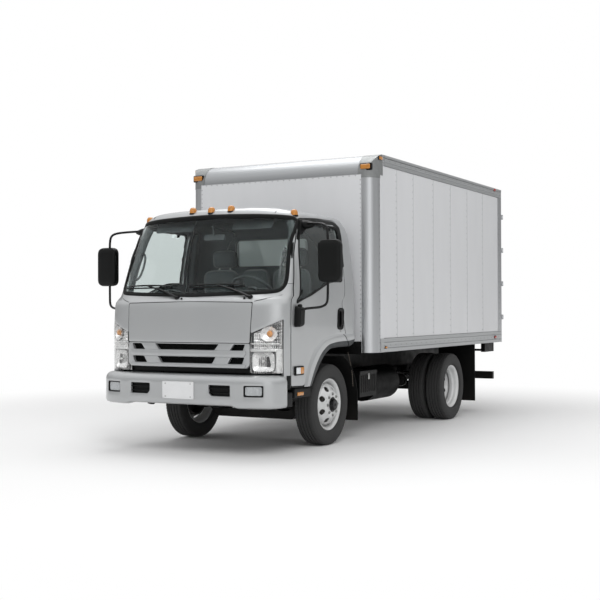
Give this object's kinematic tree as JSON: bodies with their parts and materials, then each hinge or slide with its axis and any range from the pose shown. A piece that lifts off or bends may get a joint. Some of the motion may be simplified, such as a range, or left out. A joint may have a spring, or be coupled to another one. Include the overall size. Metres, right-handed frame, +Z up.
{
  "type": "box truck",
  "caption": "Low cab-forward light truck with a dry-freight box body, tilting cab, swing doors, steered front wheels and twin rear wheels.",
  "frame": {"origin": "on the ground, under the middle of the whole truck's outer box", "axes": "+X to the truck's left, -Y to its front, +Z up"},
  "size_m": [2.998, 6.392, 3.173],
  "materials": {
    "cab_silver": "silver metallic paint",
    "body_white": "pale grey gloss panel",
    "body_aluminium": "satin extrusion",
    "wheel_silver": "silver painted steel",
    "frame_black": "black chassis paint",
    "cast_grey": "bare casting",
    "exhaust_steel": "dull steel",
    "floor_wood": "laminated boards",
    "black_plastic": "grained black",
    "cab_plastic": "dark grey grained",
    "seat_fabric": "woven dark grey",
    "flap_rubber": "matt sheet",
    "tyre_rubber": "moulded tread",
    "tinted_glass": "green tint",
    "lamp_lens": "clear lens"
  },
  "bodies": {
    "chassis": {"chassis_rail_left": "frame_black", "chassis_rail_right": "frame_black", "cross_members": "frame_black", "leaf_springs": "frame_black", "front_axle": "frame_black", "rear_axle": "frame_black", "engine": "cast_grey", "propeller_shaft": "frame_black", "fuel_tank": "frame_black", "battery_box": "frame_black", "exhaust": "exhaust_steel", "front_bumper": "cab_silver", "fog_lamps": "lamp_lens", "rear_guard": "frame_black", "mud_flaps": "flap_rubber", "box_front_frame": "body_aluminium", "box_front_wall": "body_white", "box_wall_left": "body_white", "box_wall_right": "body_white", "box_roof": "body_white", "box_floor": "floor_wood", "box_rear_frame": "body_aluminium"},
    "cab": {"cab_shell": "cab_silver", "cab_glass": "tinted_glass", "headlamp_left": "lamp_lens", "headlamp_right": "lamp_lens", "grille": "cab_silver", "dashboard": "cab_plastic", "seats": "seat_fabric", "steering_wheel": "cab_plastic", "wipers": "black_plastic", "cab_steps": "black_plastic", "roof_lamps": "lamp_lens"},
    "front_lid": {"front_lid": "cab_silver"},
    "cab_door_left": {"cab_door_left": "cab_silver", "door_glass_left": "tinted_glass", "mirror_left": "black_plastic"},
    "cab_door_right": {"cab_door_right": "cab_silver", "door_glass_right": "tinted_glass", "mirror_right": "black_plastic"},
    "box_door_left": {"box_door_left": "body_white"},
    "box_door_right": {"box_door_right": "body_white"},
    "knuckle_left": {"knuckle_left": "cast_grey"},
    "knuckle_right": {"knuckle_right": "cast_grey"},
    "front_wheel_left": {"front_rim_left": "wheel_silver", "front_tyre_left": "tyre_rubber"},
    "front_wheel_right": {"front_rim_right": "wheel_silver", "front_tyre_right": "tyre_rubber"},
    "rear_wheels_left": {"rear_rims_left": "wheel_silver", "rear_tyres_left": "tyre_rubber"},
    "rear_wheels_right": {"rear_rims_right": "wheel_silver", "rear_tyres_right": "tyre_rubber"}
  },
  "joints": [
    {"name": "cab_tilt", "type": "hinge", "parent": "chassis", "child": "cab", "pos_m": [0, -3.068, 0.52], "axis": [1, 0, 0], "range_deg": [0, 45]},
    {"name": "front_lid_lift", "type": "hinge", "parent": "cab", "child": "front_lid", "pos_m": [0, -3.023, 1.507], "axis": [-1, 0, 0], "range_deg": [0, 70]},
    {"name": "cab_door_left_hinge", "type": "hinge", "parent": "cab", "child": "cab_door_left", "pos_m": [1.069, -2.817, 1.5], "axis": [0, 0, -1], "range_deg": [0, 70]},
    {"name": "cab_door_right_hinge", "type": "hinge", "parent": "cab", "child": "cab_door_right", "pos_m": [-1.069, -2.817, 1.5], "axis": [0, 0, 1], "range_deg": [0, 70]},
    {"name": "box_door_left_hinge", "type": "hinge", "parent": "chassis", "child": "box_door_left", "pos_m": [1.233, 3.184, 2.055], "axis": [0, 0, -1], "range_deg": [0, 250]},
    {"name": "box_door_right_hinge", "type": "hinge", "parent": "chassis", "child": "box_door_right", "pos_m": [-1.233, 3.184, 2.055], "axis": [0, 0, 1], "range_deg": [0, 250]},
    {"name": "steer_left", "type": "hinge", "parent": "chassis", "child": "knuckle_left", "pos_m": [0.69, -1.716, 0.433], "axis": [0, 0, 1], "range_deg": [-32, 32]},
    {"name": "steer_right", "type": "hinge", "parent": "chassis", "child": "knuckle_right", "pos_m": [-0.69, -1.716, 0.433], "axis": [0, 0, 1], "range_deg": [-32, 32]},
    {"name": "front_wheel_left_spin", "type": "hinge", "parent": "knuckle_left", "child": "front_wheel_left", "pos_m": [0.825, -1.716, 0.433], "axis": [1, 0, 0], "continuous": true},
    {"name": "front_wheel_right_spin", "type": "hinge", "parent": "knuckle_right", "child": "front_wheel_right", "pos_m": [-0.825, -1.716, 0.433], "axis": [1, 0, 0], "continuous": true},
    {"name": "rear_wheels_left_spin", "type": "hinge", "parent": "chassis", "child": "rear_wheels_left", "pos_m": [0.895, 1.404, 0.433], "axis": [1, 0, 0], "continuous": true},
    {"name": "rear_wheels_right_spin", "type": "hinge", "parent": "chassis", "child": "rear_wheels_right", "pos_m": [-0.895, 1.404, 0.433], "axis": [1, 0, 0], "continuous": true}
  ],
  "couplings": [
    {"joint": "steer_right", "follows": "steer_left", "ratio": 1}
  ]
}
